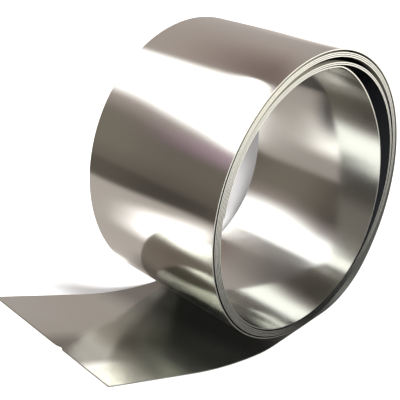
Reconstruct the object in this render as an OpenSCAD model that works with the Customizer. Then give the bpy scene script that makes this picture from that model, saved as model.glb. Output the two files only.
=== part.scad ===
// A loose coil of aluminium foil strip that lies on its outer wrap, with its free end run out to one side.
// +X runs along the foot towards the coil, +Y along the coil's axis, +Z up.
// The origin is on the floor, in the middle of the flat foot and of the strip's width.

/* [Strip] */
// Width of the strip, along the coil's axis
strip_w = 50; // [20:1:120]
// Thickness of the foil
strip_t = 0.3; // [0.1:0.05:0.4]

/* [Coil] */
// Mean radius of the first wrap, to its outer face
coil_r = 42.4; // [38:0.1:60]
// How far the coil is taller than it is round, at its top and at its bottom
tall = 1; // [0:0.1:1.5]
// Wraps that turn all the way round, before the last one
full_wraps = 6; // [2:1:8]
// How far the last wrap turns before it ends, in degrees
last_turn = 258; // [198:6:300]

/* [Gaps between the wraps] */
// Air gap between one wrap and the next, where they lie packed
gap = 0.17; // [0.1:0.01:0.5]
// How much wider the gap inside the first wrap is
first_gap = 0.4; // [0:0.05:1.5]
// How much wider one of the gaps is at the top
top_gap = 1.2; // [0:0.05:2.5]
// Number of wraps outside that wider gap
top_after = 4; // [1:1:6]
// How far the last wrap springs in from the others, on the side away from the free end
spring_in = 5; // [0:0.1:5.8]
// Direction in which it springs in most, in degrees up from +X
spring_at = 25; // [0:1:40]
// Air gap between the foot and the wrap that lies over it
foot_gap = 0.2; // [0.15:0.05:1.5]

/* [Foot] */
// Length of the flat stretch that the coil rests on
foot_l = 22; // [16:0.5:26]
// Place of the coil's middle, ahead of the middle of the foot
coil_ahead = 2.5; // [0:0.5:4]
// Direction in which the tight bend ahead of the foot gives way to a wide one
corner_at = -40; // [-50:1:-30]

/* [Free end] */
// Radius of the bend in which the strip leaves the floor
heel_r = 40; // [20:1:80]
// How far that bend turns, in degrees
heel_turn = 12.5; // [6:0.5:16]
// Radius of the wide bend after it
sweep_r = 130; // [80:1:300]
// How far the wide bend turns, in degrees
sweep_turn = 12; // [2:1:16]
// Length of the flat stretch from there to the cut end
end_l = 29.5; // [5:0.5:90]

/* [Hidden] */
// Largest turn of the strip between two stations, in degrees
fine = 4;
foot_at = -90;
// Direction in which the first wrap comes on to the spiral
join_at = 25;
inner_end_at = foot_at + 360 * full_wraps + last_turn;
pitch = strip_t + gap;

// Steps in towards the middle: how far, and the directions between which the strip takes them
// Directions go on counting up with each turn, so that they also tell the wraps apart
first_from = 200;
first_to = 290;
top_from = -50;
top_at = 80;
top_to = 155;
last_wrap = 360 * full_wraps;
last_gap = 0.3;
last_gap_from = last_wrap - 150;
last_gap_to = last_wrap - 110;
last_back_from = last_wrap + 60;
last_back_to = last_wrap + 100;
spring_top = last_wrap + spring_at;
spring_from = spring_top - 87;
spring_to = spring_top + 54;
steps_in = concat(
    [[first_gap, first_from, first_to]],
    [for (k = [top_after : 1 : full_wraps]) [top_gap, 360 * k + top_from, 360 * k + top_at]],
    [for (k = [top_after : 1 : full_wraps]) [-top_gap, 360 * k + top_at, 360 * k + top_to]],
    [[last_gap, last_gap_from, last_gap_to], [-last_gap, last_back_from, last_back_to]],
    [[spring_in, spring_from, spring_top], [-spring_in, spring_top, spring_to]]);

function out(a) = [cos(a), sin(a)];
function along(a) = [-sin(a), cos(a)];
function total(row, i = 0) = i < len(row) ? row[i] + total(row, i + 1) : 0;
// Share of a step that is taken by direction a, and how fast that grows with it, for each radian
function taken(a, from, to) = a < from ? 0 : a > to ? 1 : (1 - cos(180 * (a - from) / (to - from))) / 2;
function taken_growth(a, from, to) =
    a < from || a > to ? 0 : 90 / (to - from) * sin(180 * (a - from) / (to - from));
function inset(a) = total([for (s = steps_in) s[0] * taken(a, s[1], s[2])]);
function inset_growth(a) = total([for (s = steps_in) s[0] * taken_growth(a, s[1], s[2])]);
// Turns made by the time that the strip's outer face looks in direction a
function turns(a) = (a - foot_at) / 360;
// How far the spiral's outer face lies from the coil's middle where it looks in direction a
function reach(a) = coil_r - tall * cos(2 * a) - turns(a) * pitch - inset(a);
// How fast that grows with the direction, for each radian
function reach_growth(a) = 2 * tall * sin(2 * a) - pitch / (2 * PI) - inset_growth(a);

// The coil's middle, in X and Z, lies as high as the wrap over the foot needs
middle = [coil_ahead, strip_t + foot_gap + reach(foot_at + 360)];
function on_spiral(a) = middle + reach(a) * out(a) + reach_growth(a) * along(a);

// The strip is a row of stations: a point on its outer face, and the direction in which that face looks there
function span(from, to) =
    let (n = ceil(abs(to - from) / fine))
    [for (i = [0 : n]) from + (to - from) * i / n];
function bend(centre, r, from, to) = [for (a = span(from, to)) [centre + r * out(a), a]];
function but_last(row) = [for (i = [0 : len(row) - 2]) row[i]];

// Free end: the cut edge, a wide bend, and the tighter one that comes down to the floor
heel = [-foot_l / 2, 0];
heel_at = foot_at - heel_turn;
rise_at = heel_at - sweep_turn;
heel_mid = heel - heel_r * out(foot_at);
sweep_mid = heel_mid + (heel_r - sweep_r) * out(heel_at);
end_from = sweep_mid + sweep_r * out(rise_at);
free_end = concat(
    [[end_from - end_l * along(rise_at), rise_at]],
    but_last(bend(sweep_mid, sweep_r, rise_at, heel_at)),
    bend(heel_mid, heel_r, heel_at, foot_at));

// First wrap: a tight bend up from the foot's other end, and a wide one that meets the spiral smoothly
toe = [foot_l / 2, 0];
tight = out(corner_at) - out(foot_at);
wide = out(join_at) - out(corner_at);
to_join = on_spiral(join_at) - toe;
corner_r = cross(to_join, wide) / cross(tight, wide);
side_r = cross(tight, to_join) / cross(tight, wide);
corner_mid = toe - corner_r * out(foot_at);
side_mid = corner_mid + (corner_r - side_r) * out(corner_at);
first_wrap = concat(
    but_last(bend(corner_mid, corner_r, foot_at, corner_at)),
    but_last(bend(side_mid, side_r, corner_at, join_at)));

spiral = [for (a = span(join_at, inner_end_at)) [on_spiral(a), a]];

// One strip in one piece, from the cut end of its free end round to its inner end
module foil_strip() {
    stations = concat(free_end, first_wrap, spiral);
    outer = [for (s = stations) s[0]];
    inner = [for (i = [len(stations) - 1 : -1 : 0]) stations[i][0] - strip_t * out(stations[i][1])];
    color("silver")
        translate([0, strip_w / 2, 0])
            rotate([90, 0, 0])
                linear_extrude(height = strip_w)
                    polygon(concat(outer, inner));
}

foil_strip();
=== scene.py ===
"""A loose coil of bright aluminium foil strip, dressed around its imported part."""

import math

import bpy
from mathutils import Matrix, Vector


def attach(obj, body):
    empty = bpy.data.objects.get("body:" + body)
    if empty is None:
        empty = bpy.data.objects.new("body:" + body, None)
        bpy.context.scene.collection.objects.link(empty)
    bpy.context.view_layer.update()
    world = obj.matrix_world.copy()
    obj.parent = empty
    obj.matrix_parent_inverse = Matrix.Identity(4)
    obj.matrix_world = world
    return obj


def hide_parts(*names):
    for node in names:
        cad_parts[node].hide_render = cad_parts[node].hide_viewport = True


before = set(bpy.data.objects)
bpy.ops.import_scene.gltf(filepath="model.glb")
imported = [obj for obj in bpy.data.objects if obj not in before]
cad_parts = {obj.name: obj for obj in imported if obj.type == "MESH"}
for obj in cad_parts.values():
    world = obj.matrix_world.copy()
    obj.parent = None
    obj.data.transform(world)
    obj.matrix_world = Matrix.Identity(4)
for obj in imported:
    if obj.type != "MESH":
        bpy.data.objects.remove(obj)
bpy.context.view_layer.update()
mm = 0.001
PER_METRE = 1000

# Sizes of the strip and its coil, as the part has them, in millimetres and degrees
STRIP_W = 50
STRIP_T = 0.3
COIL_R = 42.4
TALL = 1
FULL_WRAPS = 6
LAST_TURN = 258
GAP = 0.17
FIRST_GAP = 0.4
TOP_GAP = 1.2
TOP_AFTER = 4
LAST_GAP = 0.3
SPRING_IN = 5
SPRING_AT = 25
FOOT_GAP = 0.2
FOOT_L = 22
COIL_AHEAD = 2.5
CORNER_AT = -40
HEEL_R = 40
HEEL_TURN = 12.5
SWEEP_R = 130
SWEEP_TURN = 12
END_L = 29.5
FOOT_AT = -90
JOIN_AT = 25
PITCH = STRIP_T + GAP
INNER_END_AT = FOOT_AT + 360 * FULL_WRAPS + LAST_TURN
LAST_WRAP = 360 * FULL_WRAPS

# The nick in the cut edge: its depth, and its place from the middle of the strip's width
NICK = 0.8
NICK_AT = -5

# Colours of the strip: bare metal, and the places that differ from it, most of them painted light or shade
BARE = (0.65, 0.662, 0.625, 1)
# Painted shade where one wrap lies over another
PAINTED_SHADE_UNDER_WRAP = (0.05, 0.055, 0.06, 1)
# Painted shade on the free end towards the coil
PAINTED_SHADE_UNDER_COIL = (0.26, 0.26, 0.24, 1)
# Painted shade: the free end a little darker and greener than bare metal
FREE_END_PAINTED_SHADE = (0.575, 0.58, 0.52, 1)
# Painted highlight at the free end's near corner
NEAR_CORNER_PAINTED_HIGHLIGHT = (1.0, 1.0, 0.98, 1)
# Painted shade: a dark patch by the cut end, beside the near corner
CUT_END_PAINTED_SHADE = (0.22, 0.22, 0.2, 1)
# Painted dim light at the edges of the shade between wraps
PAINTED_DIM_LIGHT = (0.14, 0.13, 0.1, 1)
FRESH_EDGE = (0.88, 0.865, 0.82, 1)
# Painted shade on the slit edges where the coil turns up
EDGE_PAINTED_SHADE = (0.55, 0.54, 0.51, 1)

# The camera: the lens in pixels of a picture 400 pixels wide, its place in millimetres, and its angles
LENS_PIXELS = 724.1
PICTURE_PIXELS = 400
SENSOR = 36
CAMERA_PLACE = (-147.1, -132.0, 137.3)
CAMERA_AZIMUTH = -44.313
CAMERA_HEIGHT = 27.353

# The strip's steps in towards the middle: how far, and between which directions
STEPS_IN = [(FIRST_GAP, 200, 290)]
for wrap in range(TOP_AFTER, FULL_WRAPS + 1):
    STEPS_IN += [(TOP_GAP, 360 * wrap - 50, 360 * wrap + 80), (-TOP_GAP, 360 * wrap + 80, 360 * wrap + 155)]
STEPS_IN += [
    (LAST_GAP, LAST_WRAP - 150, LAST_WRAP - 110),
    (-LAST_GAP, LAST_WRAP + 60, LAST_WRAP + 100),
    (SPRING_IN, LAST_WRAP + SPRING_AT - 87, LAST_WRAP + SPRING_AT),
    (-SPRING_IN, LAST_WRAP + SPRING_AT, LAST_WRAP + SPRING_AT + 54),
]


def out(a):
    """The way that the strip's outer face looks, in X and Z."""
    return Vector((math.cos(math.radians(a)), math.sin(math.radians(a))))


def onward(a):
    """The way in which the strip runs on, in X and Z."""
    return Vector((-math.sin(math.radians(a)), math.cos(math.radians(a))))


def share(a, start, end):
    """How much of a step is taken by direction a, and how fast that grows, for each radian."""
    x = min(max((a - start) / (end - start), 0), 1)
    return (1 - math.cos(math.pi * x)) / 2, 90 / (end - start) * math.sin(math.pi * x)


def reach(a):
    """How far the spiral's outer face lies from the coil's middle, and how fast that grows."""
    far = COIL_R - TALL * math.cos(math.radians(2 * a)) - (a - FOOT_AT) / 360 * PITCH
    growth = 2 * TALL * math.sin(math.radians(2 * a)) - PITCH / math.tau
    for depth, start, end in STEPS_IN:
        taken, faster = share(a, start, end)
        far -= depth * taken
        growth -= depth * faster
    return far, growth


MIDDLE = Vector((COIL_AHEAD, STRIP_T + FOOT_GAP + reach(FOOT_AT + 360)[0]))


def on_spiral(a):
    """The place on the spiral's outer face that looks in direction a."""
    far, growth = reach(a)
    return MIDDLE + far * out(a) + growth * onward(a)


def span(start, end, step):
    """Even steps from start to end, none of them longer than step."""
    count = math.ceil(abs(end - start) / step)
    return [start + (end - start) * i / count for i in range(count + 1)]


def bend(centre, radius, start, end, step):
    """Stations along a round bend of the strip's outer face."""
    return [(centre + radius * out(a), a) for a in span(start, end, step)]


def strip_stations(turn_step=2.5, end_step=1.6, foot_steps=12):
    """The strip's outer face seen from its edge: each station's place and the way that it looks there."""
    heel = Vector((-FOOT_L / 2, 0))
    heel_at = FOOT_AT - HEEL_TURN
    rise_at = heel_at - SWEEP_TURN
    heel_mid = heel - HEEL_R * out(FOOT_AT)
    sweep_mid = heel_mid + (HEEL_R - SWEEP_R) * out(heel_at)
    end_from = sweep_mid + SWEEP_R * out(rise_at)
    free_end = [(end_from - far * onward(rise_at), rise_at) for far in span(END_L, 0, end_step)[:-1]]
    free_end += bend(sweep_mid, SWEEP_R, rise_at, heel_at, math.degrees(end_step / SWEEP_R))[:-1]
    free_end += bend(heel_mid, HEEL_R, heel_at, FOOT_AT, turn_step)[:-1]
    toe = Vector((FOOT_L / 2, 0))
    foot = [(heel + (toe - heel) * i / foot_steps, FOOT_AT) for i in range(foot_steps)]
    tight = out(CORNER_AT) - out(FOOT_AT)
    wide = out(JOIN_AT) - out(CORNER_AT)
    to_join = on_spiral(JOIN_AT) - toe
    corner_r = to_join.cross(wide) / tight.cross(wide)
    side_r = tight.cross(to_join) / tight.cross(wide)
    corner_mid = toe - corner_r * out(FOOT_AT)
    side_mid = corner_mid + (corner_r - side_r) * out(CORNER_AT)
    first_wrap = bend(corner_mid, corner_r, FOOT_AT, CORNER_AT, turn_step)[:-1]
    first_wrap += bend(side_mid, side_r, CORNER_AT, JOIN_AT, turn_step)[:-1]
    spiral = [(on_spiral(a), a) for a in span(JOIN_AT, INNER_END_AT, turn_step)]
    return free_end + foot + first_wrap + spiral


def lengths(stations):
    """How much strip lies between the cut end and each station."""
    places = [place for place, a in stations]
    far = [0]
    for before, here in zip(places, places[1:]):
        far.append(far[-1] + (here - before).length)
    return far


def length_to(heading):
    """How much strip lies between the cut end and the first station that looks that way."""
    stations = strip_stations()
    return next(far for far, (place, a) in zip(lengths(stations), stations) if a >= heading)


class Wire:
    """A socket of a node tree. Sums and products of wires, and with plain numbers, add Math nodes."""

    def __init__(self, tree, socket):
        self.tree = tree
        self.socket = socket

    def is_vector(self):
        return self.socket.type in ("VECTOR", "RGBA")

    def math(self, operation, *others):
        values = [self, *others]
        vectors = any(isinstance(value, Wire) and value.is_vector() for value in values)
        kind = "ShaderNodeVectorMath" if vectors else "ShaderNodeMath"
        return self.tree.add(kind, {"operation": operation}, dict(enumerate(values)))[0]

    def __add__(self, other):
        return self.math("ADD", other)

    def __sub__(self, other):
        return self.math("SUBTRACT", other)

    def __mul__(self, other):
        if self.is_vector() and not (isinstance(other, Wire) and other.is_vector()):
            return self.tree.add("ShaderNodeVectorMath", {"operation": "SCALE"}, {0: self, "Scale": other})[0]
        return self.math("MULTIPLY", other)

    def __truediv__(self, other):
        return self.math("DIVIDE", other)

    def __radd__(self, other):
        return self + other

    def __rmul__(self, other):
        return self * other

    def __rsub__(self, other):
        return self.tree.add("ShaderNodeMath", {"operation": "SUBTRACT"}, {0: other, 1: self})[0]

    def smooth(self, low, high):
        """0 below low, 1 above high, and a slope with soft ends between them."""
        settings = {"interpolation_type": "SMOOTHSTEP"}
        sockets = {"Value": self, "From Min": low, "From Max": high}
        return self.tree.add("ShaderNodeMapRange", settings, sockets)[0]

    def fade(self, low, high):
        """1 below low, 0 above high, and a slope with soft ends between them."""
        return 1 - self.smooth(low, high)

    def between(self, low, rise_end, fall_start, high):
        """1 from rise_end to fall_start, 0 below low and above high, and soft slopes between them."""
        return self.smooth(low, rise_end) * self.fade(fall_start, high)


class Tree:
    """A node tree that is built one node at a time."""

    def __init__(self, nodes):
        self.nodes = nodes
        self.nodes.nodes.clear()

    def add(self, kind, settings=None, sockets=None):
        """Adds a node: its settings come first, then its sockets' values or wires. Returns its outputs."""
        node = self.nodes.nodes.new(kind)
        for name, value in (settings or {}).items():
            setattr(node, name, value)
        used = [socket for socket in node.inputs if socket.enabled]
        for name, value in (sockets or {}).items():
            socket = used[name] if isinstance(name, int) else next(s for s in used if s.name == name)
            if isinstance(value, Wire):
                self.nodes.links.new(value.socket, socket)
            else:
                socket.default_value = value
        given = [Wire(self, socket) for socket in node.outputs if socket.enabled]
        self.last = node
        return dict(enumerate(given)) | {wire.socket.name: wire for wire in reversed(given)}

    def parts(self, vector):
        """The X, Y and Z of a vector."""
        return self.add("ShaderNodeSeparateXYZ", {}, {0: vector})

    def vector(self, **axes):
        """A vector from its X, Y and Z. Those that aren't given are 0."""
        return self.add("ShaderNodeCombineXYZ", {}, axes)[0]

    def mix(self, first, second, factor):
        """A colour that turns from the first into the second as the factor rises from 0 to 1."""
        sockets = {"A": first, "B": second, "Factor": factor}
        return self.add("ShaderNodeMix", {"data_type": "RGBA"}, sockets)["Result"]

    def attribute(self, name, output):
        """A named attribute of the mesh, for a material."""
        return self.add("ShaderNodeAttribute", {"attribute_name": name})[output]


def blank_material(name):
    """A new material and its empty node tree."""
    material = bpy.data.materials.new(name)
    material.use_nodes = True
    return material, Tree(material.node_tree)


def strip_tree(foil, slit):
    """Geometry Nodes that sweep the strip along its stations, with its thickness and crisp slit edges."""
    group = bpy.data.node_groups.new("wound_strip", "GeometryNodeTree")
    tree = Tree(group)
    face = group.interface
    face.new_socket("Geometry", in_out="INPUT", socket_type="NodeSocketGeometry")
    sizes = {}
    for name, kind, value in (
        ("Width", "Float", STRIP_W * mm),
        ("Thickness", "Float", STRIP_T * mm),
        ("Rows", "Int", 41),
        ("Wave height", "Float", 0.06 * mm),
        ("Wave length", "Float", 30 * mm),
        ("Waves round", "Float", 0.9),
        ("Nick", "Float", NICK * mm),
        ("Crease angle", "Float", 0.6),
        ("Merge distance", "Float", 0.001 * mm),
        ("Seed", "Float", 4.0),
    ):
        sizes[name] = (face.new_socket(name, in_out="INPUT", socket_type="NodeSocket" + kind), value)
    face.new_socket("Geometry", in_out="OUTPUT", socket_type="NodeSocketGeometry")
    given = tree.add("NodeGroupInput")
    path = given["Geometry"]

    def sampled(kind, value):
        settings = {"data_type": kind, "domain": "POINT"}
        sockets = {"Geometry": path, "Value": value, "Index": station}
        return tree.add("GeometryNodeSampleIndex", settings, sockets)[0]

    def named(kind, name):
        return tree.add("GeometryNodeInputNamedAttribute", {"data_type": kind}, {"Name": name})["Attribute"]

    def stored(mesh, kind, domain, name, value):
        settings = {"data_type": kind, "domain": domain}
        sockets = {"Geometry": mesh, "Name": name, "Value": value}
        return tree.add("GeometryNodeStoreNamedAttribute", settings, sockets)[0]

    # A grid with one column of points for each station
    counted = tree.add("GeometryNodeAttributeDomainSize", {"component": "MESH"}, {"Geometry": path})
    columns = counted["Point Count"]
    spread = {"Size X": 1.0, "Size Y": given["Width"], "Vertices X": columns, "Vertices Y": given["Rows"]}
    grid = tree.add("GeometryNodeMeshGrid", {}, spread)
    point = tree.add("GeometryNodeInputIndex")["Index"]
    by_rows = {0: point, 1: given["Rows"]}
    station = tree.add("FunctionNodeIntegerMath", {"operation": "DIVIDE_FLOOR"}, by_rows)[0]
    place = sampled("FLOAT_VECTOR", tree.add("GeometryNodeInputPosition")["Position"])
    outward = sampled("FLOAT_VECTOR", named("FLOAT_VECTOR", "outward"))
    along = sampled("FLOAT", named("FLOAT", "along"))
    across = tree.parts(tree.add("GeometryNodeInputPosition")["Position"])["Y"]
    sideways = tree.vector(Y=across)

    # Faint waves in the foil, which stay inside the part's outer face
    patch = outward * given["Waves round"] + sideways / given["Wave length"]
    settings = {"noise_dimensions": "4D"}
    noise = {"Vector": patch, "W": given["Seed"], "Scale": 1.0, "Detail": 1.0}
    swell = tree.add("ShaderNodeTexNoise", settings, noise)[0]
    swell = (swell - 0.5) * given["Wave height"] * 2 - given["Wave height"]

    # The nick in the cut edge of the free end
    nick = (across - NICK_AT * mm).math("ABSOLUTE").fade(0.4 * mm, 1.4 * mm) * along.fade(0, 1.2 * mm)
    look = tree.parts(outward)
    bitten = tree.vector(X=look["Z"] * -1.0, Z=look["X"]) * (nick * given["Nick"])

    # The outer face, with what the materials read from it
    place = place + sideways + outward * swell + bitten
    laid = tree.add("GeometryNodeSetPosition", {}, {"Geometry": grid["Mesh"], "Position": place})[0]
    laid = stored(laid, "FLOAT_VECTOR", "POINT", "lay", tree.vector(X=along, Y=across))
    laid = stored(laid, "FLOAT_VECTOR", "POINT", "look", outward)

    # The foil's thickness, marked on its rim and on the side towards the bore
    inward = named("FLOAT_VECTOR", "look") * -1.0
    thickness = {"Mesh": laid, "Offset": inward, "Offset Scale": given["Thickness"], "Individual": False}
    sides = tree.add("GeometryNodeExtrudeMesh", {"mode": "FACES"}, thickness)
    thick = stored(sides["Mesh"], "BOOLEAN", "FACE", "rim", sides["Side"])
    thick = stored(thick, "FLOAT", "FACE", "bore_side", 1.0)
    outer_face = tree.add("GeometryNodeFlipFaces", {}, {"Mesh": laid})[0]
    join = tree.add("GeometryNodeJoinGeometry")
    joiner = tree.last
    for part in (outer_face, thick):
        group.links.new(part.socket, joiner.inputs[0])
    merged = {"Geometry": join["Geometry"], "Distance": given["Merge distance"]}
    closed = tree.add("GeometryNodeMergeByDistance", {}, merged)[0]

    # Smooth faces with a crisp slit edge, and the materials
    rim = named("BOOLEAN", "rim")
    flat = tree.add("FunctionNodeBooleanMath", {"operation": "NOT"}, {0: rim})[0]
    smooth = tree.add("GeometryNodeSetShadeSmooth", {"domain": "FACE"}, {0: closed, "Shade Smooth": flat})[0]
    angle = tree.add("GeometryNodeInputMeshEdgeAngle")["Unsigned Angle"]
    creased = angle.math("GREATER_THAN", given["Crease angle"])
    sharp = {0: smooth, "Selection": creased, "Shade Smooth": False}
    crisp = tree.add("GeometryNodeSetShadeSmooth", {"domain": "EDGE"}, sharp)[0]
    real = tree.add("GeometryNodeRealizeInstances", {}, {"Geometry": crisp})[0]
    faced = tree.add("GeometryNodeSetMaterial", {}, {"Geometry": real, "Material": foil})[0]
    rimmed = {"Geometry": faced, "Selection": rim, "Material": slit}
    edged = tree.add("GeometryNodeSetMaterial", {}, rimmed)[0]
    tree.add("NodeGroupOutput", {}, {"Geometry": edged})
    return group, sizes


def strip_piece(name, foil, slit):
    """The strip in one piece, swept along its stations and made a plain mesh."""
    stations = strip_stations()
    path = bpy.data.meshes.new(name + "_path")
    path.from_pydata([(place.x * mm, 0, place.y * mm) for place, a in stations], [], [])
    along = [far * mm for far in lengths(stations)]
    path.attributes.new("along", "FLOAT", "POINT").data.foreach_set("value", along)
    outward = [part for place, a in stations for part in (out(a).x, 0, out(a).y)]
    path.attributes.new("outward", "FLOAT_VECTOR", "POINT").data.foreach_set("vector", outward)
    rough = bpy.data.objects.new(name + "_path", path)
    bpy.context.scene.collection.objects.link(rough)
    modifier = rough.modifiers.new("wound_strip", "NODES")
    modifier.node_group, sizes = strip_tree(foil, slit)
    for socket, value in sizes.values():
        modifier[socket.identifier] = value
    evaluated = rough.evaluated_get(bpy.context.evaluated_depsgraph_get())
    mesh = bpy.data.meshes.new_from_object(evaluated)
    rough.modifiers.clear()
    bpy.data.objects.remove(rough)
    mesh.name = name
    piece = bpy.data.objects.new(name, mesh)
    bpy.context.scene.collection.objects.link(piece)
    return piece


def foil_material():
    """Bright rolled aluminium: a mirror with faint lines along the strip, with light and shade painted into
    its colour in places.

    Places on the strip are in millimetres: run from its cut end, sideways from the middle of its width.
    """
    material, tree = blank_material("rolled_foil")
    lay = tree.attribute("lay", "Vector")
    lines = tree.add("ShaderNodeVectorMath", {"operation": "MULTIPLY"}, {0: lay, 1: (12.0, 2600.0, 1.0)})[0]
    rolled = tree.add("ShaderNodeTexNoise", {}, {"Vector": lines, "Scale": 1.0, "Detail": 3.0})[0]
    cloud = tree.add("ShaderNodeTexNoise", {}, {"Vector": lay, "Scale": 60.0, "Detail": 3.0})[0]
    place = tree.parts(lay * PER_METRE)
    run, sideways = place["X"], place["Y"]
    across = sideways.math("ABSOLUTE")
    bore_side = tree.attribute("bore_side", "Fac")
    outer_side = 1 - bore_side

    # Where one wrap lies over another, hardly any light comes in, and that shade is painted dark
    foot = length_to(FOOT_AT)
    second = length_to(FOOT_AT + 360)
    last = length_to(INNER_END_AT - 360)
    under_wrap = run.between(foot - 4, foot + 12, last - 20, last)
    covered = bore_side * under_wrap + outer_side * run.smooth(second - 7, second - 1)

    # At the edge of such places, along the top and where the crescent opens, a dull margin is painted
    # lighter, as painted dim light that gets in there
    deep = run.smooth(last - 140, last - 100)
    upward = tree.parts(tree.attribute("look", "Vector"))["Z"]
    toe, front = length_to(CORNER_AT - 42), length_to(JOIN_AT)
    opening = run.between(toe - 2, toe + 10, front - 20, front + 20) * across.smooth(10, 20)
    dim_light_margin = (across.smooth(21, 24) * upward.smooth(0.3, 0.8)).math("MAXIMUM", opening * 0.35)
    dim_light_margin = covered * (1 - deep) * dim_light_margin

    # The outer wrap is rubbed low down, and the inmost one and the free end are a little duller
    low = outer_side * run.between(length_to(200), length_to(225), second, second + 10)
    inmost = run.smooth(1400, 1550)
    handled = run.fade(30, 75)
    corner = run.fade(14, 42) * sideways.fade(-16, 4)

    # The free end has a painted highlight at its near corner, a painted dark patch beside that by its cut
    # end, and painted shade towards the coil, and it is painted a little darker and greener all over
    free_end = bore_side * run.fade(50, 80)
    shaded = bore_side * (run + sideways * 0.25).smooth(30, 54) * run.fade(90, 110)
    far_tip = run.fade(0, 30) * sideways.smooth(-5, 20)
    painted_highlight_near_corner = free_end * sideways.fade(-18, -4) * run.fade(34, 56)
    painted_shade_by_cut_end = free_end * run.fade(6, 18) * sideways.between(-16.5, -12.5, -4, 4)

    # Painted shade, painted dim light and a painted highlight are laid over the bare metal
    colour = tree.mix(BARE, PAINTED_SHADE_UNDER_WRAP, covered)
    colour = tree.mix(colour, PAINTED_SHADE_UNDER_COIL, shaded)
    colour = tree.mix(colour, FREE_END_PAINTED_SHADE, free_end * (1 - far_tip) * (1 - shaded))
    colour = tree.mix(colour, NEAR_CORNER_PAINTED_HIGHLIGHT, painted_highlight_near_corner)
    colour = tree.mix(colour, CUT_END_PAINTED_SHADE, painted_shade_by_cut_end * 0.85)
    colour = tree.mix(colour, PAINTED_DIM_LIGHT, dim_light_margin)
    metallic = 1 - dim_light_margin * 0.8 - covered * (1 - dim_light_margin) * 0.12 - shaded * 0.02
    roughness = 0.07 + cloud * 0.02 + rolled * 0.02 + handled * 0.05 + inmost * 0.03
    roughness = roughness + corner * 0.03 + dim_light_margin * 0.4 + low * 0.13
    bump = tree.add("ShaderNodeBump", {}, {"Strength": 0.05, "Distance": 0.00001, "Height": rolled})["Normal"]
    finish = {"Base Color": colour, "Metallic": metallic, "Roughness": roughness, "Normal": bump}
    shader = tree.add("ShaderNodeBsdfPrincipled", {}, finish)["BSDF"]
    tree.add("ShaderNodeOutputMaterial", {}, {"Surface": shader})
    return material


def slit_material():
    """The slit edges: fresh metal, duller than the faces, and painted darker as shade where the coil turns
    up.
    """
    material, tree = blank_material("slit_edge")
    lay = tree.attribute("lay", "Vector")
    burr = tree.add("ShaderNodeTexNoise", {}, {"Vector": lay, "Scale": 900.0, "Detail": 2.0})[0]
    run = tree.parts(lay * PER_METRE)["X"]
    toe, front = length_to(CORNER_AT - 30), length_to(JOIN_AT)
    colour = tree.mix(FRESH_EDGE, EDGE_PAINTED_SHADE, run.between(toe - 10, toe, front - 20, front + 10))
    finish = {"Base Color": colour, "Metallic": 1.0, "Roughness": 0.14 + burr * 0.12}
    shader = tree.add("ShaderNodeBsdfPrincipled", {}, finish)["BSDF"]
    tree.add("ShaderNodeOutputMaterial", {}, {"Surface": shader})
    return material


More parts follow.
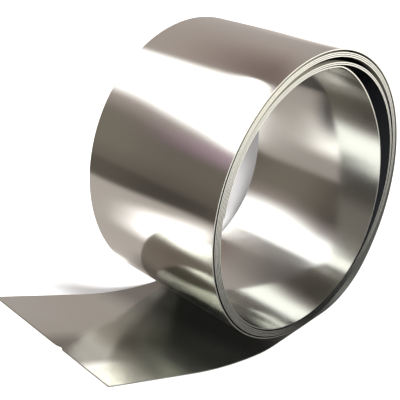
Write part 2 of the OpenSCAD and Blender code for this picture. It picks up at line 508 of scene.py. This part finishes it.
def studio():
    """Soft light from all round, which is plain white to the camera, and a sun that reflections don't show.

    A direction's turn goes round the coil's axis, in degrees up from +X, and its lean is its angle from
    that axis. In the order of their turn, the zones are a low glow away from the free end, a plain side,
    a large soft box overhead, a dark side towards the free end, and what lies below.
    """
    world = bpy.data.worlds.new("studio")
    world.use_nodes = True
    bpy.context.scene.world = world
    tree = Tree(world.node_tree)
    way = tree.parts(tree.add("ShaderNodeTexCoord")["Generated"])
    turn = way["Z"].math("ARCTAN2", way["X"]) * (180 / math.pi)
    turn = turn + turn.math("LESS_THAN", -90.0) * 360
    lean = way["Y"].math("ABSOLUTE").math("ARCCOSINE") * (180 / math.pi)

    # The turns at which one zone gives way to the next, which shift with the lean
    glow_start = -76 - lean.smooth(56, 60) * 26 + lean.between(47.3, 49, 56, 58.5) * 42
    glow_end = -33 + lean.smooth(46, 56) * 28 - lean.smooth(57, 61.5) * 30 - lean.smooth(61.5, 63.5) * 24
    box_start = 85 + lean.smooth(51.8, 52.9) * 20 - lean.smooth(60.8, 62) * 16
    box_end = 124.5 + lean.smooth(41, 52.5) * 14 + lean.smooth(52.5, 54.2) * 12 - lean.smooth(56, 61) * 16
    floor_start = 205 - lean.smooth(42, 52) * 7 - lean.smooth(52.5, 54) * 2.5 - lean.smooth(61.5, 62.5) * 12

    past_start = turn - glow_start
    past_round = past_start.smooth(360, 380)
    past_glow = (turn - glow_end).smooth(-11, 11)
    past_side = (turn - box_start).smooth(-6, 7)
    past_box = (turn - box_end).smooth(-9, 9)
    past_dark = (turn - floor_start).smooth(-3, 3)
    glow = past_start.smooth(0, 20) * (1 - past_glow) + past_round
    side = past_glow * (1 - past_side)
    box = past_side * (1 - past_box)
    dark = past_box * (1 - past_dark)
    below = past_dark * (1 - past_round) + past_start.fade(0, 20)

    # The plain side: darker upwards, and redder where the outer wrap shows it
    side_level = 0.53 - lean.smooth(44, 53) * turn.smooth(30, 72) * 0.27
    side_level = side_level + lean.smooth(53, 54.5) * turn.smooth(30, 72) * 0.16
    side_level = side_level - lean.smooth(54.5, 60) * (0.2 + turn.smooth(40, 60) * 0.1)
    side_level = side_level + lean.between(48, 56, 57, 61) * turn.fade(-5, 14) * 0.3
    redder = turn.smooth(5, 75) * lean.between(38, 53, 53.5, 55)

    # The soft box, with a gleam at its near end
    box_level = 3.4 - lean.smooth(52.6, 54) + lean.between(49.3, 50.5, 53, 54) * 1.6
    gleam = turn.between(78.5, 84, 98, 106) * lean.between(50.4, 51.2, 51.5, 52.5)

    # The dark side, with the soft box's afterglow and a purple stripe
    dark_level = 0.2 - turn.smooth(168, 188) * 0.05 - turn.smooth(184, 190) * lean.fade(50, 54) * 0.06
    dark_level = dark_level + lean.fade(42, 48) * 0.06 + lean.smooth(52.5, 54.5) * turn.smooth(155, 185) * 0.1
    dark_level = dark_level * (1 - lean.smooth(57, 61) * 0.6)
    afterglow = (turn - box_end).fade(2, 24)
    purple = turn.between(138, 146, 150, 160) * lean.between(43, 50, 52, 54)

    # What lies below: a hollow under the coil, the light that the outer wrap catches there, and the bore's
    hollow = (turn - lean.smooth(51, 53) * 8).smooth(256, 269) + turn.fade(-76, -58)
    hollow = hollow * lean.smooth(47.5, 49.5)
    below_level = 0.62 - lean.smooth(50, 57) * 0.14 - lean.smooth(62, 63.5) * 0.42 - hollow * 0.42
    caught = (turn + lean * 2).smooth(301, 314) * turn.fade(230, 247) * lean.between(44.3, 48.8, 51.6, 52.9)
    inside = turn.between(209, 222, 240, 264) * lean.between(56, 58, 60.3, 61.7)

    # The near side, which the slit edges show
    near = (way["Y"] * -1.0).smooth(0.2, 0.42) * turn.between(-80, -65, -8, 6)
    near_level = 0.15 + (turn - (lean - 56) * 1.4).smooth(-44, -20) * 1.25

    def tinted(level, colour):
        return tree.add("ShaderNodeCombineColor", {}, {i: level * part for i, part in enumerate(colour)})[0]

    light = tinted(gleam * 9.0, (1.0, 0.98, 0.97))
    for level, colour in (
        (glow * 2.5, (1.0, 0.97, 0.95)),
        (side * side_level * (1 - redder), (1.0, 0.885, 0.83)),
        (side * side_level * redder, (1.0, 0.745, 0.67)),
        (box * box_level, (1.0, 0.98, 0.98)),
        (dark * afterglow * 0.32, (1.0, 0.82, 0.83)),
        (purple * 0.1, (1.0, 0.25, 1.1)),
        (dark * dark_level, (1.0, 0.855, 0.72)),
        (below * below_level, (1.0, 0.885, 0.82)),
        (below * inside * 1.5, (1.0, 0.97, 0.94)),
        (below * caught * 1.9, (1.0, 0.96, 0.97)),
    ):
        light = light + tinted(level, colour)
    light = light * (1 - near) + tinted(near * near_level, (1.0, 0.99, 0.92))
    plain = tree.add("ShaderNodeBackground", {}, {"Color": (1, 1, 1, 1), "Strength": 1.0})[0]
    lit = tree.add("ShaderNodeBackground", {}, {"Color": light, "Strength": 1.0})[0]
    camera_ray = tree.add("ShaderNodeLightPath")["Is Camera Ray"]
    both = tree.add("ShaderNodeMixShader", {}, {0: camera_ray, 1: lit, 2: plain})[0]
    tree.add("ShaderNodeOutputWorld", {}, {"Surface": both})

    lamp = bpy.data.lights.new("front_light", "SUN")
    lamp.energy = 12.0
    lamp.angle = math.radians(8)
    key = bpy.data.objects.new("front_light", lamp)
    bpy.context.scene.collection.objects.link(key)
    key.rotation_euler = Vector((-0.62, -0.64, 0.44)).to_track_quat("Z", "Y").to_euler()
    key.visible_glossy = False


def floor():
    """A pale floor. Reflections see the studio through it, but for a soft painted shade where the coil rests.
    """
    mesh = bpy.data.meshes.new("pale_floor")
    corners = [(-1.5, -1.5, 0), (1.8, -1.5, 0), (1.8, 1.8, 0), (-1.5, 1.8, 0)]
    mesh.from_pydata(corners, [], [(0, 1, 2, 3)])
    sheet = bpy.data.objects.new("pale_floor", mesh)
    bpy.context.scene.collection.objects.link(sheet)
    material, tree = blank_material("pale_floor")
    place = tree.parts(tree.add("ShaderNodeTexCoord")["Object"] * PER_METRE)
    x, y = place["X"], place["Y"]
    # Behind the coil, where it shows through the bore, a soft grey painted shadow darkens the floor
    painted_shadow_behind = (x + y).between(60, 90, 220, 300) * (x - y).math("ABSOLUTE").fade(35, 60)
    pale = tree.add("ShaderNodeBsdfDiffuse", {}, {"Color": 0.55 - painted_shadow_behind * 0.24})[0]
    # Painted shade under the coil, seen only in reflections
    shade = (x - 30).math("ABSOLUTE").fade(21.6, 43.2) * y.math("ABSOLUTE").fade(30, 42)
    seen = tree.add("ShaderNodeBsdfTransparent", {}, {"Color": 1 - shade * 0.88})[0]
    glossy_ray = tree.add("ShaderNodeLightPath")["Is Glossy Ray"]
    surface = tree.add("ShaderNodeMixShader", {}, {0: glossy_ray, 1: pale, 2: seen})[0]
    tree.add("ShaderNodeOutputMaterial", {}, {"Surface": surface})
    mesh.materials.append(material)
    sheet.visible_shadow = False


def camera():
    """The photograph's viewing angle."""
    lens = bpy.data.cameras.new("camera")
    lens.sensor_width = SENSOR
    lens.lens = LENS_PIXELS / PICTURE_PIXELS * SENSOR
    lens.clip_start = 0.01
    lens.clip_end = 20
    view = bpy.data.objects.new("camera", lens)
    bpy.context.scene.collection.objects.link(view)
    azimuth, height = math.radians(CAMERA_AZIMUTH), math.radians(CAMERA_HEIGHT)
    level = math.cos(height)
    back = Vector((math.sin(azimuth) * level, -math.cos(azimuth) * level, math.sin(height)))
    aim = back.to_track_quat("Z", "Y")
    view.matrix_world = Matrix.LocRotScale(Vector(CAMERA_PLACE) * mm, aim, Vector((1, 1, 1)))
    bpy.context.scene.camera = view


foil = foil_material()
slit = slit_material()
strip = strip_piece("foil_coil", foil, slit)
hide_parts("foil_strip")
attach(strip, "root")
floor()
studio()
camera()
bpy.context.scene.view_settings.view_transform = "Standard"
